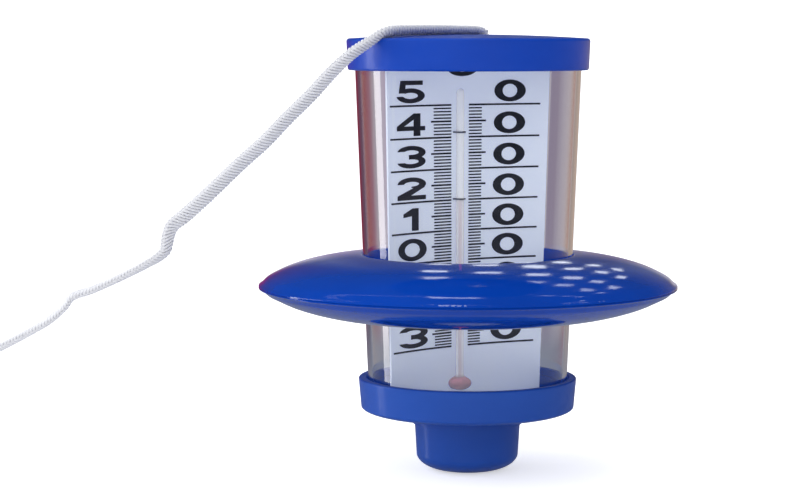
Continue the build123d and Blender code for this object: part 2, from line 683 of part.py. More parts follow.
def build_float_shell(side, roundness):
    """Half of the ring float: side is 1 for the upper shell and -1 for the lower one."""
    bore_edge_z = FLOAT_Z + side * float_height(tube_radius(FLOAT_Z), FLOAT_R, FLOAT_RISE, roundness)
    bore_edge_r = tube_radius(bore_edge_z) + FLOAT_BORE_GAP
    bore_r = tube_radius(FLOAT_Z) + FLOAT_BORE_GAP
    collar_r = tube_radius(FLOAT_Z) + COLLAR_WALL
    outside = surface_points(bore_edge_r, FLOAT_R, FLOAT_RISE, roundness, side)
    inside = surface_points(collar_r, FLOAT_R - FLOAT_WALL, FLOAT_RISE - FLOAT_WALL, roundness, side)
    with BuildPart() as shell:
        with BuildSketch(Plane.XZ) as shell_section:
            with BuildLine():
                skin = Spline(*outside, (FLOAT_R, FLOAT_Z + side * SEAM_CUT), tangents=[(1, 0), (0, -side)])
                Polyline(
                    skin @ 1,
                    (FLOAT_R - SEAM_CUT, FLOAT_Z),
                    (bore_r, FLOAT_Z),
                    skin @ 0,
                )
            make_face()
            fillet(corner(shell_section, bore_edge_r, bore_edge_z), FLOAT_BORE_ROUND)
            with BuildLine():
                hollow = Spline(*inside, (FLOAT_R - FLOAT_WALL, FLOAT_Z), tangents=[(1, 0), (0, -side)])
                Polyline(hollow @ 1, (collar_r, FLOAT_Z), hollow @ 0)
            make_face(mode=Mode.SUBTRACT)
            with Locations((bore_r, FLOAT_Z)):
                Rectangle(2 * (GROOVE_R - bore_r), 2 * GROOVE_HALF, mode=Mode.SUBTRACT)
        revolve(axis=Axis.Z)
    return shell.part


float_upper_shell = build_float_shell(1, UPPER_ROUNDNESS)
float_lower_shell = build_float_shell(-1, LOWER_ROUNDNESS)


# ---- float_grip_ring: the rubber ring in the float's bore -------------------------------------------
with BuildPart() as float_grip_ring:
    with BuildSketch(Plane.XZ):
        with Locations((GRIP_CENTRE_R, FLOAT_Z)):
            Circle(GRIP_R)
    revolve(axis=Axis.Z)


# ---- cord: from the hole over the cap's rim, off it to one side and down -------------------------------
heading = (cos(radians(CORD_HEADING)), sin(radians(CORD_HEADING)))
plane_foot = (-CORD_PLANE_OFFSET * heading[1], CORD_PLANE_OFFSET * heading[0])
hanging = [(plane_foot[0] + run * heading[0], plane_foot[1] + run * heading[1], z) for run, z in CORD_HANG]
cord_points = [(CORD_X, 0, CORD_START_Z), CORD_OVER_CAP, *CORD_OFF_RIM, *hanging]

with BuildPart() as cord:
    with BuildLine() as cord_line:
        FilletPolyline(*cord_points, radius=CORD_BEND_R)
    with BuildSketch(Plane(origin=cord_points[0], z_dir=cord_line.wires()[0] % 0)):
        Circle(CORD_R)
    sweep(path=cord_line.wires()[0])


# ---- one file for each piece --------------------------------------------------------------------------
PIECES = {
    "clear_tube": clear_tube.part,
    "top_cap": top_cap.part,
    "top_seal": top_seal.part,
    "bottom_cap": bottom_cap.part,
    "bottom_seal": bottom_seal.part,
    "ballast_weight": ballast_weight.part,
    "ballast_cover": ballast_cover.part,
    "cord_knot": cord_knot.part,
    "cord_plug": cord_plug.part,
    "scale_card": scale_card.part,
    "scale_print": scale_print.part,
    "capillary_glass": capillary_glass.part,
    "spirit_bulb": spirit_bulb.part,
    "spirit_column": spirit_column.part,
    "spirit_tip": spirit_tip.part,
    "capillary_ties": capillary_ties.part,
    "float_upper_shell": float_upper_shell,
    "float_lower_shell": float_lower_shell,
    "float_grip_ring": float_grip_ring.part,
    "cord": cord.part,
}
for name, piece in PIECES.items():
    piece.label = name
    export_step(piece, f"parts/{name}.step")
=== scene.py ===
import math

import bpy
import numpy as np
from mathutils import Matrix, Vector


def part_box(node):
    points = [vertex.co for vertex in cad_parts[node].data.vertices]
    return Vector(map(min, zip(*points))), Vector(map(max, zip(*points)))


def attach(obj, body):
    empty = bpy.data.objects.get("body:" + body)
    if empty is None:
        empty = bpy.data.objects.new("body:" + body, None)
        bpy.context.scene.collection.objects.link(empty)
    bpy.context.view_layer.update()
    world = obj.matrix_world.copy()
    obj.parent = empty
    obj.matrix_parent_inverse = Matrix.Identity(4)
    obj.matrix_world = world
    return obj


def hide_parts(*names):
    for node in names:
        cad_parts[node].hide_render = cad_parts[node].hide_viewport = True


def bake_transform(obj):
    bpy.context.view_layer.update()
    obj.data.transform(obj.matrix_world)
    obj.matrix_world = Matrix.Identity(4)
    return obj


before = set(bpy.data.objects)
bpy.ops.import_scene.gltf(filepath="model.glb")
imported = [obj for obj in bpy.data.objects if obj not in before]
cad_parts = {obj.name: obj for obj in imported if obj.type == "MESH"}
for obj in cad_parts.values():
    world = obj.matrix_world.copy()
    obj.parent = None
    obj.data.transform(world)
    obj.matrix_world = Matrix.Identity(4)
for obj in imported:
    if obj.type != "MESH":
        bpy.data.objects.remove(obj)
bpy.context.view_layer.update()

MM = 0.001

# ---- the stem and the spirit, read from the frame ----------------------------------------------
stem_low, stem_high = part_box("capillary_glass")
STEM_X = (stem_low.x + stem_high.x) / 2
STEM_Y = (stem_low.y + stem_high.y) / 2
column_low, column_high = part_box("spirit_column")
tip_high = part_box("spirit_tip")[1]
BORE_R = (column_high.x - column_low.x) / 2
STEM_R = 0.0014
STEM_DOME_TURNS = (25, 50, 70, 86)  # points on the domed top, in degrees above level
BULB_R = (stem_high.x - stem_low.x) / 2
BULB_HALF_H = 0.0024
BULB_TURNS = (-88, 56, 8)  # points on the bulb: first, end and step, in degrees above level
BULB_Z = stem_low.z + BULB_HALF_H
SHAFT_RINGS = 40
BULB_CLEARNESS = 0.90
STEM_CLEARNESS = 0.35  # the rest of the stem's glass is milk white
THREAD_RINGS = 60

# ---- cord: a flat braid, in millimetres --------------------------------------------------------
CORD_HALF_WIDTH = 2.9
CORD_HALF_THICK = 1.35
STRANDS_EACH_WAY = 5
BRAID_LEAD = 6.0  # length of cord in which a strand goes once round
STRAND_HALF_WIDTH = 0.47
STRAND_HALF_THICK = 0.36
WEAVE_DEPTH = 0.24
WEAVE_SHARPNESS = 2.5  # how quickly a strand passes from over to under
WEAVE_TURN = 70.0  # where round the braid the strands of one direction are furthest out, in degrees
CORD_STEP = 0.22
STRAND_SIDES = 8
CORE_SIDES = 20
CORE_INSET = 0.1  # how far the filled core lies inside the strands' centre lines
CORE_STRIDE = 3  # the core has one ring for this many steps of the cord
TURN_SMOOTHING = 30  # steps each way over which a change of turn is spread
SPAN_SAMPLES = 60  # points worked out between two given points of the centre line
OVAL_SAMPLES = 721
# centre line: out of the hole and over the cap to its rim, as (x, y, z)
CORD_OVER_CAP = (
    (6.2, 0.0, 150.6),
    (6.0, 0.0, 151.9),
    (3.5, -0.3, 152.8),
    (-8.0, -1.8, 153.1),
    (-17.5, -3.0, 153.1),
    (-29.3, -4.5, 152.9),
    (-36.4, -5.4, 152.6),
    (-41.0, -5.9, 151.9),
    (-45.0, -5.0, 149.3),
    (-51.8, -2.65, 144.6),
)
# the hanging length: one upright plane, as (run along the heading, z)
CORD_HEADING = 142.0
CORD_PLANE_OFFSET = 34.0
CORD_HANG = (
    (45.4, 138.8),
    (51.9, 131.7),
    (60.4, 123.4),
    (67.5, 116.0),
    (75.8, 108.6),
    (86.4, 98.5),
    (94.7, 91.0),
    (98.5, 88.0),
    (99.9, 85.1),
    (100.5, 82.1),
    (101.0, 79.7),
    (103.0, 77.6),
    (108.0, 74.6),
    (116.9, 70.1),
    (125.8, 66.2),
    (132.9, 63.6),
    (135.1, 60.6),
    (140.4, 55.9),
    (148.0, 51.4),
    (155.6, 47.4),
    (162.5, 44.2),
)
# how far the braid's flat side is turned from lying level, as (share of the length, degrees)
CORD_TURNS = (
    (0.0, 25.0),
    (0.17, 35.0),
    (0.32, 75.0),
    (0.62, 90.0),
    (0.72, 40.0),
    (0.86, 10.0),
    (1.0, 45.0),
)

# ---- camera: the photograph's viewing angle ----------------------------------------------------
CAMERA_AZIMUTH = -38.0
CAMERA_DISTANCE = 0.805
CAMERA_HEIGHT = 0.1486
CAMERA_PITCH = 5.09
CAMERA_YAW = 1.70  # turned this far to the left of the tube's axis
CAMERA_LENS = 104.8
SENSOR_WIDTH = 36.0
RIGHT = Vector((math.cos(math.radians(CAMERA_AZIMUTH)), math.sin(math.radians(CAMERA_AZIMUTH)), 0))
AWAY = Vector((-RIGHT.y, RIGHT.x, 0))

# ---- room and lights ----------------------------------------------------------------------------
CARD_PAINTED_GLOW = 0.20  # painted light: the card glows by itself, which lightens it where the tube, caps and float shade it
# painted light: the stem glows by itself, to lighten it inside the tube
STEM_PAINTED_GLOW = 0.10
ROOM_LIGHT = 1.30
# how strong that light is by how far to the right it comes from, from -1 to 1
ROOM_LIGHT_SIDES = ((-1.0, 1.0), (0.0, 1.0), (0.5, 0.70), (1.0, 0.20))
PAPER_GLOW = 0.55
PANEL_GLOW = 2.0
STRIP_AZIMUTH = -76.0  # degrees to the right of straight away from the camera
STRIP_WATTS = 4.3
STRIP_SIZE = (0.19, 1.3)
STRIP_HEIGHT = 0.25
OVERHEAD_PLACE = (0.2, 1.3, -0.3)  # right of, above and beyond the foot
OVERHEAD_SIZE = (1.0, 1.0)
OVERHEAD_WATTS = 2.0
OVERHEAD_AIM = (0, 0, 0.08)
# colours of the room's walls by degrees to the right of straight away from the camera
ROOM_WALLS = (
    (-180, (0.03, 0.04, 0.06)),
    (-120, (0.05, 0.06, 0.09)),
    (-66, (0.10, 0.10, 0.14)),
    (-50, (0.12, 0.03, 0.06)),
    (-24, (0.22, 0.010, 0.04)),
    (-14, (0.34, 0.010, 0.035)),
    (-11, (0.30, 0.020, 0.05)),
    (-8.5, (0.30, 0.11, 0.17)),
    (-7.3, (0.36, 0.29, 0.34)),
    (-6, (0.70, 0.67, 0.74)),
    (-4.8, (0.36, 0.28, 0.40)),
    (0, (0.55, 0.55, 0.60)),
    (5, (0.22, 0.17, 0.26)),
    (7, (0.42, 0.39, 0.46)),
    (10, (0.58, 0.56, 0.60)),
    (13, (0.62, 0.54, 0.48)),
    (18, (0.56, 0.42, 0.32)),
    (60, (0.34, 0.28, 0.26)),
    (120, (0.06, 0.07, 0.09)),
    (180, (0.03, 0.04, 0.06)),
)
CEILING_COLOUR = (0.03, 0.05, 0.09)
CEILING_SHARE = ((-1.0, 0.0), (0.02, 0.0), (0.14, 0.75), (0.45, 1.0), (1.0, 1.0))
FLOOR_SEEN_THROUGH = (0.80, 0.80, 0.82)
FLOOR_REFLECTED = (0.22, 0.24, 0.30)
FLOOR_EDGE = (-0.118, -0.135)  # the walls turn into the floor between these heights of a view, from -1 to 1
# ceiling panels, as distances away and to the right for each metre of height
CEILING_HEIGHT = 2.4
PANEL_ROWS = (0.62, 1.33, 2.1, 3.7, 5.8)
PANEL_COLUMNS = (-0.08, 0.05, 0.18, 0.30, 0.42, 0.54)
PANEL_HALF_SIZE = (0.032, 0.07)
PANEL_SLANT = 0.8  # a row comes nearer towards its right end
PANEL_LEAST_DEPTH = 0.5  # a panel nearer than this is as deep as one at this distance
WINDOW_ROWS = (0.29,)
WINDOW_COLUMNS = (-0.05,)
WINDOW_HALF_SIZE = (0.10, 0.26)
WINDOW_GLOW = PANEL_GLOW * 2


# ================================================================================================
# materials
# ================================================================================================
MOULD_RIPPLE = 0.00002  # height of the finest marks on a moulded face


def start_material(name):
    """A node material with its principled shader."""
    material = bpy.data.materials.new(name)
    material.use_nodes = True
    tree = material.node_tree
    return material, tree, tree.nodes["Principled BSDF"]


def add_node(tree, kind, **values):
    """A shader node with its properties and input values set."""
    node = tree.nodes.new(kind)
    for key, value in values.items():
        if hasattr(node, key) and key not in node.inputs:
            setattr(node, key, value)
        else:
            node.inputs[key].default_value = value
    return node


def object_noise(tree, scale, detail=3.0, stretch=(1, 1, 1)):
    """Noise in the piece's own metres."""
    place = tree.nodes.new("ShaderNodeTexCoord")
    mapping = tree.nodes.new("ShaderNodeMapping")
    mapping.inputs["Scale"].default_value = stretch
    noise = add_node(tree, "ShaderNodeTexNoise", Scale=scale, Detail=detail)
    tree.links.new(place.outputs["Object"], mapping.inputs["Vector"])
    tree.links.new(mapping.outputs["Vector"], noise.inputs["Vector"])
    return noise


def ramp(tree, source, stops):
    """A colour ramp fed by a value."""
    node = tree.nodes.new("ShaderNodeValToRGB")
    elements = node.color_ramp.elements
    while len(elements) > 1:
        elements.remove(elements[-1])
    elements[0].position = stops[0][0]
    elements[0].color = (*stops[0][1], 1)
    for position, colour in stops[1:]:
        elements.new(position).color = (*colour, 1)
    tree.links.new(source, node.inputs["Fac"])
    return node


def add_bump(tree, shader, height, distance, strength=1.0, into=None):
    """Surface relief from a height, in metres."""
    bump = add_node(tree, "ShaderNodeBump", Distance=distance, Strength=strength)
    tree.links.new(height, bump.inputs["Height"])
    if into is not None:
        tree.links.new(into.outputs["Normal"], bump.inputs["Normal"])
    tree.links.new(bump.outputs["Normal"], shader.inputs["Normal"])
    return bump


def moulded_plastic(name, dark, light, roughness, coat):
    """Blue moulded plastic: faint flow marks in the colour, fine surface ripple, scuffs in the gloss."""
    material, tree, shader = start_material(name)
    flow = object_noise(tree, 22.0, 4.0, (1, 1, 2.5))
    colour = ramp(tree, flow.outputs["Fac"], [(0.30, dark), (0.70, light)])
    tree.links.new(colour.outputs["Color"], shader.inputs["Base Color"])
    scuff = object_noise(tree, 260.0, 6.0)
    low, high = roughness
    gloss = ramp(tree, scuff.outputs["Fac"], [(0.35, (low,) * 3), (0.75, (high,) * 3)])
    tree.links.new(gloss.outputs["Color"], shader.inputs["Roughness"])
    wave = object_noise(tree, 90.0, 2.0)
    rough_bump = add_bump(tree, shader, wave.outputs["Fac"], MOULD_RIPPLE * 3, 0.6)
    grain = object_noise(tree, 1600.0, 2.0)
    add_bump(tree, shader, grain.outputs["Fac"], MOULD_RIPPLE, 0.35, rough_bump)
    shader.inputs["Coat Weight"].default_value = coat
    shader.inputs["Coat Roughness"].default_value = 0.06
    shader.inputs["Specular IOR Level"].default_value = 0.3
    shader.inputs["IOR"].default_value = 1.5
    return material


def clear_wall(name, tint, painted_edge_stops, roughness, ior):
    """Clear plastic or glass: refracts what the camera sees and lets light pass to what is inside. Painted
    shade darkens and tints it towards its grazing edges.
    """
    material, tree, shader = start_material(name)
    output = tree.nodes["Material Output"]
    streaks = object_noise(tree, 40.0, 3.0, (1, 1, 0.25))
    haze = ramp(tree, streaks.outputs["Fac"], [(0.4, (roughness,) * 3), (0.8, (roughness * 3,) * 3)])
    tree.links.new(haze.outputs["Color"], shader.inputs["Roughness"])
    shader.inputs["Transmission Weight"].default_value = 1.0
    shader.inputs["IOR"].default_value = ior
    # painted shade: the colour darkens towards the edges that the camera sees at a grazing angle
    facing = add_node(tree, "ShaderNodeLayerWeight", Blend=0.5)
    edge = ramp(tree, facing.outputs["Facing"], painted_edge_stops)
    tree.links.new(edge.outputs["Color"], shader.inputs["Base Color"])
    ripple = object_noise(tree, 30.0, 2.0, (1, 1, 0.4))
    add_bump(tree, shader, ripple.outputs["Fac"], 0.00003, 0.5)
    path = tree.nodes.new("ShaderNodeLightPath")
    clear = add_node(tree, "ShaderNodeBsdfTransparent", Color=(*tint, 1))
    other_ray = add_node(tree, "ShaderNodeMath", operation="MAXIMUM")
    tree.links.new(path.outputs["Is Shadow Ray"], other_ray.inputs[0])
    tree.links.new(path.outputs["Is Diffuse Ray"], other_ray.inputs[1])
    mix = tree.nodes.new("ShaderNodeMixShader")
    tree.links.new(other_ray.outputs["Value"], mix.inputs["Fac"])
    tree.links.new(shader.outputs["BSDF"], mix.inputs[1])
    tree.links.new(clear.outputs["BSDF"], mix.inputs[2])
    tree.links.new(mix.outputs["Shader"], output.inputs["Surface"])
    return material


def card_plastic():
    """Smooth white sheet, very slightly mottled, with a soft gloss and a painted glow of its own."""
    material, tree, shader = start_material("card_sheet")
    mottle = object_noise(tree, 60.0, 4.0)
    colour = ramp(tree, mottle.outputs["Fac"], [(0.3, (0.78, 0.84, 0.98)), (0.7, (0.82, 0.87, 1.0))])
    tree.links.new(colour.outputs["Color"], shader.inputs["Base Color"])
    shader.inputs["Roughness"].default_value = 0.42
    # painted light: the card glows by itself, though it is no lamp
    shader.inputs["Emission Color"].default_value = (0.70, 0.80, 1.0, 1)
    shader.inputs["Emission Strength"].default_value = CARD_PAINTED_GLOW
    shader.inputs["Subsurface Weight"].default_value = 0.15
    shader.inputs["Subsurface Radius"].default_value = (0.002, 0.002, 0.002)
    grain = object_noise(tree, 1200.0, 2.0)
    add_bump(tree, shader, grain.outputs["Fac"], 0.00001, 0.4)
    return material


def printed_ink():
    """Black print with a faint blue cast and slightly uneven cover."""
    material, tree, shader = start_material("printed_ink")
    cover = object_noise(tree, 900.0, 3.0)
    colour = ramp(tree, cover.outputs["Fac"], [(0.3, (0.006, 0.007, 0.014)), (0.75, (0.020, 0.021, 0.034))])
    tree.links.new(colour.outputs["Color"], shader.inputs["Base Color"])
    shader.inputs["Roughness"].default_value = 0.5
    return material


def tinted_spirit(name, dark, light):
    """Spirit with a weak red tint."""
    material, tree, shader = start_material(name)
    depth = object_noise(tree, 400.0, 2.0)
    colour = ramp(tree, depth.outputs["Fac"], [(0.3, dark), (0.7, light)])
    tree.links.new(colour.outputs["Color"], shader.inputs["Base Color"])
    shader.inputs["Roughness"].default_value = 0.15
    shader.inputs["IOR"].default_value = 1.36
    return material


def milk_stem():
    """Milky glass stem over a clear glass bulb, with a faint painted glow of its own."""
    material = clear_wall("stem_glass", (0.98, 0.98, 1.0), GLASS_EDGE_PAINTED_SHADE, 0.02, 1.47)
    tree = material.node_tree
    place = tree.nodes.new("ShaderNodeTexCoord")
    height = tree.nodes.new("ShaderNodeSeparateXYZ")
    tree.links.new(place.outputs["Object"], height.inputs["Vector"])
    clear = tree.nodes.new("ShaderNodeMapRange")
    clear.inputs["From Min"].default_value = BULB_Z + BULB_HALF_H * 0.8
    clear.inputs["From Max"].default_value = BULB_Z + BULB_HALF_H * 1.4
    clear.inputs["To Min"].default_value = BULB_CLEARNESS
    clear.inputs["To Max"].default_value = STEM_CLEARNESS
    tree.links.new(height.outputs["Z"], clear.inputs["Value"])
    shader = tree.nodes["Principled BSDF"]
    tree.links.new(clear.outputs["Result"], shader.inputs["Transmission Weight"])
    # painted light: the stem's own faint glow
    shader.inputs["Emission Color"].default_value = (0.90, 0.95, 1.0, 1)
    shader.inputs["Emission Strength"].default_value = STEM_PAINTED_GLOW
    return material


def cord_fibre(name, dark, light):
    """Soft white yarn: fine fibres and a little sheen; given darker colours, it paints the cool shade
    between strands.
    """
    material, tree, shader = start_material(name)
    fibre = object_noise(tree, 2600.0, 3.0)
    colour = ramp(tree, fibre.outputs["Fac"], [(0.25, dark), (0.75, light)])
    tree.links.new(colour.outputs["Color"], shader.inputs["Base Color"])
    shader.inputs["Roughness"].default_value = 0.85
    shader.inputs["Sheen Weight"].default_value = 0.35
    shader.inputs["Sheen Roughness"].default_value = 0.4
    shader.inputs["Subsurface Weight"].default_value = 0.25
    shader.inputs["Subsurface Radius"].default_value = (0.001, 0.001, 0.001)
    add_bump(tree, shader, fibre.outputs["Fac"], 0.00004, 0.4)
    return material


def drawn_wire():
    """Thin drawn wire."""
    material, tree, shader = start_material("drawn_wire")
    lines = object_noise(tree, 2500.0, 2.0)
    colour = ramp(tree, lines.outputs["Fac"], [(0.3, (0.30, 0.30, 0.29)), (0.7, (0.46, 0.46, 0.45))])
    tree.links.new(colour.outputs["Color"], shader.inputs["Base Color"])
    shader.inputs["Metallic"].default_value = 0.9
    shader.inputs["Roughness"].default_value = 0.38
    return material


def soft_rubber():
    """Black seal rubber with a dusty bloom."""
    material, tree, shader = start_material("seal_rubber_skin")
    bloom = object_noise(tree, 300.0, 4.0)
    colour = ramp(tree, bloom.outputs["Fac"], [(0.3, (0.012, 0.012, 0.013)), (0.8, (0.05, 0.05, 0.052))])
    tree.links.new(colour.outputs["Color"], shader.inputs["Base Color"])
    shader.inputs["Roughness"].default_value = 0.7
    add_bump(tree, shader, bloom.outputs["Fac"], 0.00002, 0.5)
    return material


def cast_slug():
    """Dull grey cast metal."""
    material, tree, shader = start_material("cast_slug")
    pits = object_noise(tree, 500.0, 6.0)
    colour = ramp(tree, pits.outputs["Fac"], [(0.3, (0.12, 0.12, 0.125)), (0.7, (0.26, 0.26, 0.27))])
    tree.links.new(colour.outputs["Color"], shader.inputs["Base Color"])
    shader.inputs["Metallic"].default_value = 0.8
    shader.inputs["Roughness"].default_value = 0.55
    add_bump(tree, shader, pits.outputs["Fac"], 0.00008, 0.7)
    return material


CAP_DARK = (0.000, 0.043, 0.39)
CAP_LIGHT = (0.0005, 0.054, 0.46)
CUP_DARK = (0.010, 0.070, 0.39)
CUP_LIGHT = (0.014, 0.083, 0.45)
FLOAT_DARK = (0.001, 0.038, 0.32)
FLOAT_LIGHT = (0.002, 0.048, 0.385)
# painted shade of the clear tube's grazing edges, darkening to mauve by how squarely a face is seen
CLEAR_EDGE_PAINTED_SHADE = [
    (0.0, (1.0, 1.0, 1.0)),
    (0.80, (0.97, 0.97, 0.99)),
    (0.93, (0.86, 0.83, 0.88)),
    (1.0, (0.62, 0.55, 0.64)),
]
# painted shade of the glass stem's grazing edges, greying by how squarely a face is seen
GLASS_EDGE_PAINTED_SHADE = [(0.0, (0.98, 0.99, 1.0)), (0.9, (0.93, 0.95, 0.97)), (1.0, (0.80, 0.83, 0.86))]

cap_blue = moulded_plastic("cap_plastic", CAP_DARK, CAP_LIGHT, (0.30, 0.40), 0.08)
cup_blue = moulded_plastic("cup_plastic", CUP_DARK, CUP_LIGHT, (0.34, 0.46), 0.04)
float_blue = moulded_plastic("float_plastic", FLOAT_DARK, FLOAT_LIGHT, (0.07, 0.14), 0.6)
clear_plastic = clear_wall("clear_tube_plastic", (1.0, 1.0, 1.0), CLEAR_EDGE_PAINTED_SHADE, 0.01, 1.49)
stem_glass = milk_stem()
fibre_white = cord_fibre("cord_fibre", (0.74, 0.74, 0.78), (0.81, 0.81, 0.84))
# painted shade: the core is coloured grey-lavender so that the gaps between strands read as shade
core_painted_shade = cord_fibre("cord_core_painted_shade", (0.42, 0.40, 0.50), (0.52, 0.50, 0.60))

NODE_MATERIALS = {
    "top_cap": cap_blue,
    "bottom_cap": cup_blue,
    "float_upper_shell": float_blue,
    "float_lower_shell": float_blue,
    "clear_tube": clear_plastic,
    "capillary_glass": stem_glass,
    "scale_card": card_plastic(),
    "scale_print": printed_ink(),
    "spirit_bulb": tinted_spirit("bulb_spirit", (0.40, 0.10, 0.14), (0.72, 0.17, 0.27)),
    "spirit_column": tinted_spirit("thread_spirit", (0.46, 0.15, 0.26), (0.54, 0.20, 0.32)),
    "capillary_ties": drawn_wire(),
    "top_seal": soft_rubber(),
    "ballast_weight": cast_slug(),
    "cord_knot": fibre_white,
    "cord_plug": moulded_plastic("plug_plastic", (0.60, 0.60, 0.60), (0.70, 0.70, 0.70), (0.35, 0.50), 0.0),
}
SHARED_MATERIALS = {
    "bottom_seal": "top_seal",
    "float_grip_ring": "top_seal",
    "spirit_tip": "spirit_column",
    "ballast_cover": "cord_plug",
    "cord": "cord_knot",
}
for node, source in SHARED_MATERIALS.items():
    NODE_MATERIALS[node] = NODE_MATERIALS[source]
for node, material in NODE_MATERIALS.items():
    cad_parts[node].data.materials[0] = material


# ================================================================================================
# new pieces
# ================================================================================================
def mesh_piece(name, points, faces, material, smooth=True):
    """A mesh object from points in metres and faces."""
    mesh = bpy.data.meshes.new(name)
    mesh.from_pydata([tuple(point) for point in points], [], faces)
    mesh.materials.append(material)
    mesh.update()
    piece = bpy.data.objects.new(name, mesh)
    bpy.context.scene.collection.objects.link(piece)
    if smooth:
        mesh.shade_smooth()
    return piece


def join_rings(rings, sides):
    """Faces of a closed tube made of rings of points, with its two ends closed."""
    faces = []
    for ring in range(rings - 1):
        for side in range(sides):
            near = ring * sides
            far = near + sides
            following = (side + 1) % sides
            faces.append((near + side, near + following, far + following, far + side))
    faces.append(tuple(reversed(range(sides))))
    faces.append(tuple(range((rings - 1) * sides, rings * sides)))
    return faces


def smooth_path(points, step):
    """Even steps along a smooth curve through the points."""
    points = np.array(points, float)
    padded = np.vstack([2 * points[0] - points[1], points, 2 * points[-1] - points[-2]])
    dense = []
    for i in range(1, len(padded) - 2):
        p0, p1, p2, p3 = padded[i - 1 : i + 3]
        gap = np.sqrt([np.linalg.norm(p1 - p0), np.linalg.norm(p2 - p1), np.linalg.norm(p3 - p2)])
        t0 = 0.0
        t1, t2, t3 = np.cumsum(gap)
        for t in np.linspace(t1, t2, SPAN_SAMPLES, endpoint=False):
            a1 = (t1 - t) / (t1 - t0) * p0 + (t - t0) / (t1 - t0) * p1
            a2 = (t2 - t) / (t2 - t1) * p1 + (t - t1) / (t2 - t1) * p2
            a3 = (t3 - t) / (t3 - t2) * p2 + (t - t2) / (t3 - t2) * p3
            b1 = (t2 - t) / (t2 - t0) * a1 + (t - t0) / (t2 - t0) * a2
            b2 = (t3 - t) / (t3 - t1) * a2 + (t - t1) / (t3 - t1) * a3
            dense.append((t2 - t) / (t2 - t1) * b1 + (t - t1) / (t2 - t1) * b2)
    dense.append(padded[-2])
    dense = np.array(dense)
    along = np.concatenate([[0], np.cumsum(np.linalg.norm(np.diff(dense, axis=0), axis=1))])
    stations = np.linspace(0, along[-1], int(along[-1] / step) + 1)
    return stations, np.column_stack([np.interp(stations, along, dense[:, axis]) for axis in range(3)])


def cord_frames(stations, centre):
    """The braid's wide and thin directions all along its centre line."""
    tangent = np.gradient(centre, axis=0)
    tangent /= np.linalg.norm(tangent, axis=1)[:, None]
    level = np.empty_like(centre)
    side = np.array([0.0, 1.0, 0.0])  # the braid leaves the hole with its flat side across the card's depth
    for i, direction in enumerate(tangent):
        side = side - direction * (side @ direction)
        side /= np.linalg.norm(side)
        level[i] = side
    upright = np.cross(tangent, level)
    shares = stations / stations[-1]
    turn_shares, turn_degrees = zip(*CORD_TURNS)
    turns = np.radians(np.interp(shares, turn_shares, turn_degrees))
    kernel = np.hanning(2 * TURN_SMOOTHING + 1)
    turns = np.convolve(np.pad(turns, TURN_SMOOTHING, mode="edge"), kernel / kernel.sum(), mode="valid")
    wide = level * np.cos(turns)[:, None] + upright * np.sin(turns)[:, None]
    thin = upright * np.cos(turns)[:, None] - level * np.sin(turns)[:, None]
    return wide, thin


def oval_angles(shares, half_width, half_thick):
    """Angles on an oval for shares of its girth, so that strands are evenly spaced round it."""
    angle = np.linspace(0, 2 * math.pi, OVAL_SAMPLES)
    x, y = half_width * np.cos(angle), half_thick * np.sin(angle)
    girth = np.concatenate([[0], np.cumsum(np.hypot(np.diff(x), np.diff(y)))])
    return np.interp(np.mod(shares, 1.0), girth / girth[-1], angle)


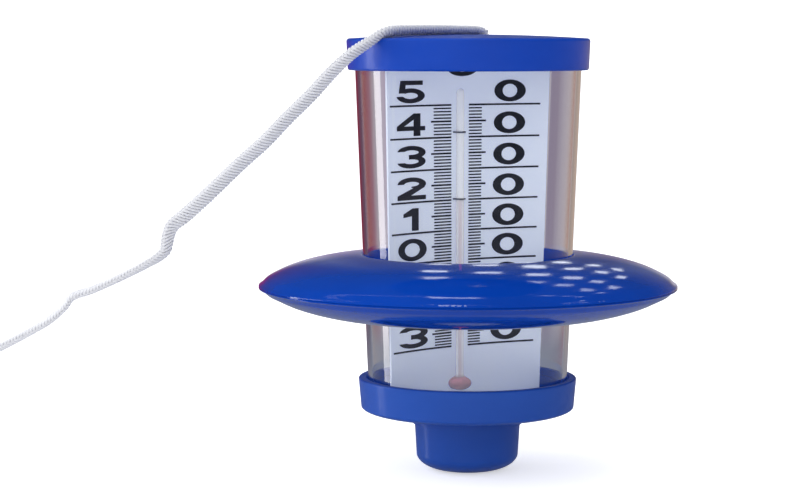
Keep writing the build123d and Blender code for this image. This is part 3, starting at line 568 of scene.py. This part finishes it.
def build_cord():
    """The braid: strands that go round both ways, over and under each other, on a filled core."""
    heading = np.array([math.cos(math.radians(CORD_HEADING)), math.sin(math.radians(CORD_HEADING))])
    foot = CORD_PLANE_OFFSET * np.array([-heading[1], heading[0]])
    hanging = [(*(foot + run * heading), z) for run, z in CORD_HANG]
    stations, centre = smooth_path([*CORD_OVER_CAP, *hanging], CORD_STEP)
    wide, thin = cord_frames(stations, centre)
    half_width = CORD_HALF_WIDTH - STRAND_HALF_THICK - WEAVE_DEPTH
    half_thick = CORD_HALF_THICK - STRAND_HALF_THICK - WEAVE_DEPTH
    points, faces, slots = [], [], []

    def add_tube(rings, slot):
        """Close a tube of rings and give it the material in the slot."""
        first = sum(len(block) for block in points)
        count, sides = rings.shape[:2]
        tube_faces = join_rings(count, sides)
        points.append(rings.reshape(-1, 3))
        faces.extend(tuple(first + corner for corner in face) for face in tube_faces)
        slots.extend([slot] * len(tube_faces))

    ring_angles = np.linspace(0, 2 * math.pi, STRAND_SIDES, endpoint=False)
    for way in (1, -1):
        for strand in range(STRANDS_EACH_WAY):
            shares = way * stations / BRAID_LEAD + strand / STRANDS_EACH_WAY
            angle = oval_angles(shares, half_width, half_thick)
            lift = way * WEAVE_DEPTH * np.tanh(WEAVE_SHARPNESS * np.cos(angle - math.radians(WEAVE_TURN)))
            normal = wide * (half_thick * np.cos(angle))[:, None]
            normal = normal + thin * (half_width * np.sin(angle))[:, None]
            normal /= np.linalg.norm(normal, axis=1)[:, None]
            line = centre + wide * (half_width * np.cos(angle))[:, None]
            line = line + thin * (half_thick * np.sin(angle))[:, None]
            line = line + normal * lift[:, None]
            along = np.gradient(line, axis=0)
            along /= np.linalg.norm(along, axis=1)[:, None]
            across = np.cross(along, normal)
            across /= np.linalg.norm(across, axis=1)[:, None]
            rings = (
                line[:, None, :]
                + across[:, None, :] * (STRAND_HALF_WIDTH * np.cos(ring_angles))[None, :, None]
                + normal[:, None, :] * (STRAND_HALF_THICK * np.sin(ring_angles))[None, :, None]
            )
            add_tube(rings, 0)
    core_angles = np.linspace(0, 2 * math.pi, CORE_SIDES, endpoint=False)
    core = (
        centre[::CORE_STRIDE, None, :]
        + wide[::CORE_STRIDE, None, :] * ((half_width - CORE_INSET) * np.cos(core_angles))[None, :, None]
        + thin[::CORE_STRIDE, None, :] * ((half_thick - CORE_INSET) * np.sin(core_angles))[None, :, None]
    )
    # the core carries the painted shade seen between the strands
    add_tube(core, 1)
    piece = mesh_piece("cord_braid", np.vstack(points) * MM, faces, fibre_white)
    piece.data.materials.append(core_painted_shade)
    piece.data.polygons.foreach_set("material_index", slots)
    return piece


def turned_piece(name, outline, centre, material, sides=48):
    """A round piece turned about an upright axis: outline is (radius, z) from the bottom up."""
    angles = np.linspace(0, 2 * math.pi, sides, endpoint=False)
    points = []
    for r, z in outline:
        for angle in angles:
            points.append((centre[0] + r * math.cos(angle), centre[1] + r * math.sin(angle), z))
    return mesh_piece(name, points, join_rings(len(outline), sides), material)


def build_stem():
    """The glass stem and bulb, drawn from one rod."""
    bulb_turns = np.radians(np.arange(*BULB_TURNS))
    bulb = [(BULB_R * math.cos(turn), BULB_Z + BULB_HALF_H * math.sin(turn)) for turn in bulb_turns]
    shaft_top = stem_high.z - STEM_R
    shaft = [(STEM_R * 1.12, BULB_Z + BULB_HALF_H * 1.08)]
    shaft += [(STEM_R, z) for z in np.linspace(BULB_Z + BULB_HALF_H * 1.3, shaft_top, SHAFT_RINGS)]
    dome_turns = np.radians(STEM_DOME_TURNS)
    top = [(STEM_R * math.cos(turn), shaft_top + STEM_R * math.sin(turn)) for turn in dome_turns]
    return turned_piece("stem_and_bulb", bulb + shaft + top, (STEM_X, STEM_Y), stem_glass)


def build_spirit_thread():
    """The thread of spirit, from the neck to a domed top."""
    foot_z, top_z = column_low.z, tip_high.z
    dome_turns = np.radians([0, 25, 50, 70, 84])
    dome = [(BORE_R * math.cos(turn), top_z - BORE_R * (1 - math.sin(turn))) for turn in dome_turns]
    shaft = [(BORE_R, z) for z in np.linspace(foot_z, dome[0][1], THREAD_RINGS)]
    return turned_piece("spirit_thread", shaft + dome[1:], (STEM_X, STEM_Y), NODE_MATERIALS["spirit_column"])


stem = build_stem()
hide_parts("capillary_glass")
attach(stem, "body")

cord = build_cord()
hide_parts("cord")
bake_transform(cord)

# the float's gloss shows the room, and not the pieces inside the tube
for node in ("clear_tube", "scale_card", "scale_print", "capillary_ties"):
    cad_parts[node].visible_glossy = False
stem.visible_glossy = False

thread = build_spirit_thread()
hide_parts("spirit_column", "spirit_tip")
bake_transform(thread)


# ================================================================================================
# floor, light and camera
# ================================================================================================
def build_backdrop():
    """A white sheet that runs under the object and curves up far behind it."""
    material, tree, shader = start_material("backdrop_paper")
    paper = object_noise(tree, 3.0, 2.0)
    colour = ramp(tree, paper.outputs["Fac"], [(0.3, (0.86, 0.86, 0.87)), (0.7, (0.88, 0.88, 0.88))])
    tree.links.new(colour.outputs["Color"], shader.inputs["Base Color"])
    shader.inputs["Roughness"].default_value = 0.9
    shader.inputs["Specular IOR Level"].default_value = 0.0
    shader.inputs["Emission Color"].default_value = (1, 1, 1, 1)
    path = tree.nodes.new("ShaderNodeLightPath")
    glow = add_node(tree, "ShaderNodeMath", operation="MULTIPLY")
    glow.inputs[1].default_value = PAPER_GLOW
    tree.links.new(path.outputs["Is Camera Ray"], glow.inputs[0])
    tree.links.new(glow.outputs["Value"], shader.inputs["Emission Strength"])
    half_width = 3.0
    near_reach = 3.0
    floor_reach = 1.2
    bend_r = 0.6
    wall = 2.5
    outline = [(-near_reach, 0.0), (floor_reach, 0.0)]
    for turn in np.radians(np.arange(5, 91, 5)):
        outline.append((floor_reach + bend_r * math.sin(turn), bend_r * (1 - math.cos(turn))))
    outline.append((floor_reach + bend_r, wall))
    points = []
    for reach, height in outline:
        for side in (-half_width, half_width):
            points.append(seen_from_camera(side, height, reach))
    faces = [(2 * i, 2 * i + 1, 2 * i + 3, 2 * i + 2) for i in range(len(outline) - 1)]
    sheet = mesh_piece("backdrop", points, faces, material)
    sheet.visible_glossy = False
    sheet.visible_transmission = False


def seen_from_camera(right, up, away):
    """A place given as right of, above and beyond the tube's foot, as the camera sees it."""
    return RIGHT * right + AWAY * away + Vector((0, 0, up))


def add_area_light(name, place, target, size, watts):
    """A soft rectangular light aimed at a point, and not itself seen by the camera."""
    data = bpy.data.lights.new(name, "AREA")
    data.shape = "RECTANGLE"
    data.size, data.size_y = size
    data.energy = watts
    light = bpy.data.objects.new(name, data)
    bpy.context.scene.collection.objects.link(light)
    light.location = place
    light.rotation_euler = (Vector(target) - Vector(place)).to_track_quat("-Z", "Y").to_euler()
    light.visible_camera = False
    return light


def only_outside(light):
    """The light shows in outer surfaces but not through the clear wall."""
    light.use_nodes = True
    tree = light.node_tree
    path = tree.nodes.new("ShaderNodeLightPath")
    outside = add_node(tree, "ShaderNodeMath", operation="LESS_THAN")
    outside.inputs[1].default_value = 0.5
    tree.links.new(path.outputs["Transmission Depth"], outside.inputs[0])
    tree.links.new(outside.outputs["Value"], tree.nodes["Emission"].inputs["Strength"])


def glowing_panels(name, strength, rows, columns, half_size):
    """Ceiling panels in a grid of rows going away and columns going right."""
    material, tree, shader = start_material(name + "_glow")
    tubes = object_noise(tree, 6.0, 1.0)
    glow = ramp(tree, tubes.outputs["Fac"], [(0.2, (0.85, 0.93, 1.0)), (0.8, (1.0, 1.0, 1.0))])
    tree.links.new(glow.outputs["Color"], shader.inputs["Emission Color"])
    shader.inputs["Emission Strength"].default_value = strength
    shader.inputs["Base Color"].default_value = (0, 0, 0, 1)
    points, faces = [], []
    for away in rows:
        for right in columns:
            first = len(points)
            for side, depth in ((-1, -1), (-1, 1), (1, 1), (1, -1)):
                near = away * (1 - PANEL_SLANT * right)
                across = right + side * half_size[0]
                beyond = near + depth * half_size[1] * max(near, PANEL_LEAST_DEPTH)
                corner = (across * CEILING_HEIGHT, CEILING_HEIGHT, beyond * CEILING_HEIGHT)
                points.append(seen_from_camera(*corner))
            faces.append((first, first + 1, first + 2, first + 3))
    panels = mesh_piece(name, points, faces, material, smooth=False)
    panels.visible_camera = False
    panels.visible_diffuse = False
    panels.visible_transmission = False
    panels.visible_shadow = False


def build_room():
    """White light all round for matt surfaces; a dim room, as polished and clear surfaces see it."""
    world = bpy.data.worlds.new("studio")
    world.use_nodes = True
    tree = world.node_tree
    tree.nodes.clear()
    place = tree.nodes.new("ShaderNodeTexCoord")

    def along(direction):
        """How far a view points along a direction, from -1 to 1."""
        dot = add_node(tree, "ShaderNodeVectorMath", operation="DOT_PRODUCT")
        tree.links.new(place.outputs["Generated"], dot.inputs[0])
        dot.inputs[1].default_value = direction
        return dot.outputs["Value"]

    def rescaled(value, low, high):
        """A value as its share of the way from low to high."""
        node = tree.nodes.new("ShaderNodeMapRange")
        tree.links.new(value, node.inputs["Value"])
        node.inputs["From Min"].default_value = low
        node.inputs["From Max"].default_value = high
        return node.outputs["Result"]

    def blended(factor, first, second):
        """From the first colour to the second. A colour mix node has them in its sockets 6 and 7."""
        node = add_node(tree, "ShaderNodeMix", data_type="RGBA")
        tree.links.new(factor, node.inputs[0])
        tree.links.new(first, node.inputs[6])
        tree.links.new(second, node.inputs[7])
        return node.outputs[2]

    angle = add_node(tree, "ShaderNodeMath", operation="ARCTAN2")
    tree.links.new(along(RIGHT), angle.inputs[0])
    tree.links.new(along(AWAY), angle.inputs[1])
    up = along((0, 0, 1))
    azimuth = angle.outputs["Value"]
    walls = ramp(
        tree,
        rescaled(azimuth, -math.pi, math.pi),
        [((turn + 180) / 360, colour) for turn, colour in ROOM_WALLS],
    )
    height_stops = [((height + 1) / 2, (share,) * 3) for height, share in CEILING_SHARE]
    heights = ramp(tree, rescaled(up, -1, 1), height_stops)
    ceiling = tree.nodes.new("ShaderNodeRGB")
    ceiling.outputs[0].default_value = (*CEILING_COLOUR, 1)
    reflected = tree.nodes.new("ShaderNodeLightPath")
    floor_stops = [(0.0, FLOOR_SEEN_THROUGH), (1.0, FLOOR_REFLECTED)]
    floors = ramp(tree, reflected.outputs["Is Glossy Ray"], floor_stops)
    upper = blended(heights.outputs["Color"], walls.outputs["Color"], ceiling.outputs[0])
    room = blended(rescaled(up, *FLOOR_EDGE), upper, floors.outputs["Color"])

    path = tree.nodes.new("ShaderNodeLightPath")
    polished = add_node(tree, "ShaderNodeMath", operation="MAXIMUM")
    tree.links.new(path.outputs["Is Glossy Ray"], polished.inputs[0])
    tree.links.new(path.outputs["Is Transmission Ray"], polished.inputs[1])
    soft = add_node(tree, "ShaderNodeBackground", Strength=ROOM_LIGHT)
    sides = ramp(
        tree,
        rescaled(along(RIGHT), -1, 1),
        [((side + 1) / 2, (0.97 * share, 0.985 * share, share)) for side, share in ROOM_LIGHT_SIDES],
    )
    tree.links.new(sides.outputs["Color"], soft.inputs["Color"])
    dim = add_node(tree, "ShaderNodeBackground", Strength=1.0)
    tree.links.new(room, dim.inputs["Color"])
    mix = tree.nodes.new("ShaderNodeMixShader")
    tree.links.new(polished.outputs["Value"], mix.inputs["Fac"])
    tree.links.new(soft.outputs["Background"], mix.inputs[1])
    tree.links.new(dim.outputs["Background"], mix.inputs[2])
    output = tree.nodes.new("ShaderNodeOutputWorld")
    tree.links.new(mix.outputs["Shader"], output.inputs["Surface"])
    bpy.context.scene.world = world
    world.cycles.sampling_method = "NONE"


def add_lights():
    """A soft overhead box, a tall strip behind on the left, and ceiling panels that only gloss shows."""
    overhead_place = seen_from_camera(*OVERHEAD_PLACE)
    overhead = add_area_light("overhead_box", overhead_place, OVERHEAD_AIM, OVERHEAD_SIZE, OVERHEAD_WATTS)
    overhead.visible_glossy = False
    strip_turn = math.radians(STRIP_AZIMUTH)
    strip_place = seen_from_camera(math.sin(strip_turn), STRIP_HEIGHT, math.cos(strip_turn))
    strip = add_area_light("tall_strip", strip_place, (0, 0, STRIP_HEIGHT), STRIP_SIZE, STRIP_WATTS)
    only_outside(strip.data)
    glowing_panels("ceiling_panels", PANEL_GLOW, PANEL_ROWS, PANEL_COLUMNS, PANEL_HALF_SIZE)
    glowing_panels("front_window", WINDOW_GLOW, WINDOW_ROWS, WINDOW_COLUMNS, WINDOW_HALF_SIZE)


def add_camera():
    """The photograph's viewing angle."""
    data = bpy.data.cameras.new("camera")
    data.lens = CAMERA_LENS
    data.sensor_width = SENSOR_WIDTH
    camera = bpy.data.objects.new("camera", data)
    bpy.context.scene.collection.objects.link(camera)
    camera.location = seen_from_camera(0, CAMERA_HEIGHT, -CAMERA_DISTANCE)
    camera.rotation_euler = (
        math.radians(90 - CAMERA_PITCH),
        0,
        math.radians(CAMERA_AZIMUTH + CAMERA_YAW),
    )
    bpy.context.scene.camera = camera


build_room()
build_backdrop()
add_lights()
add_camera()
bpy.context.scene.view_settings.view_transform = "Standard"
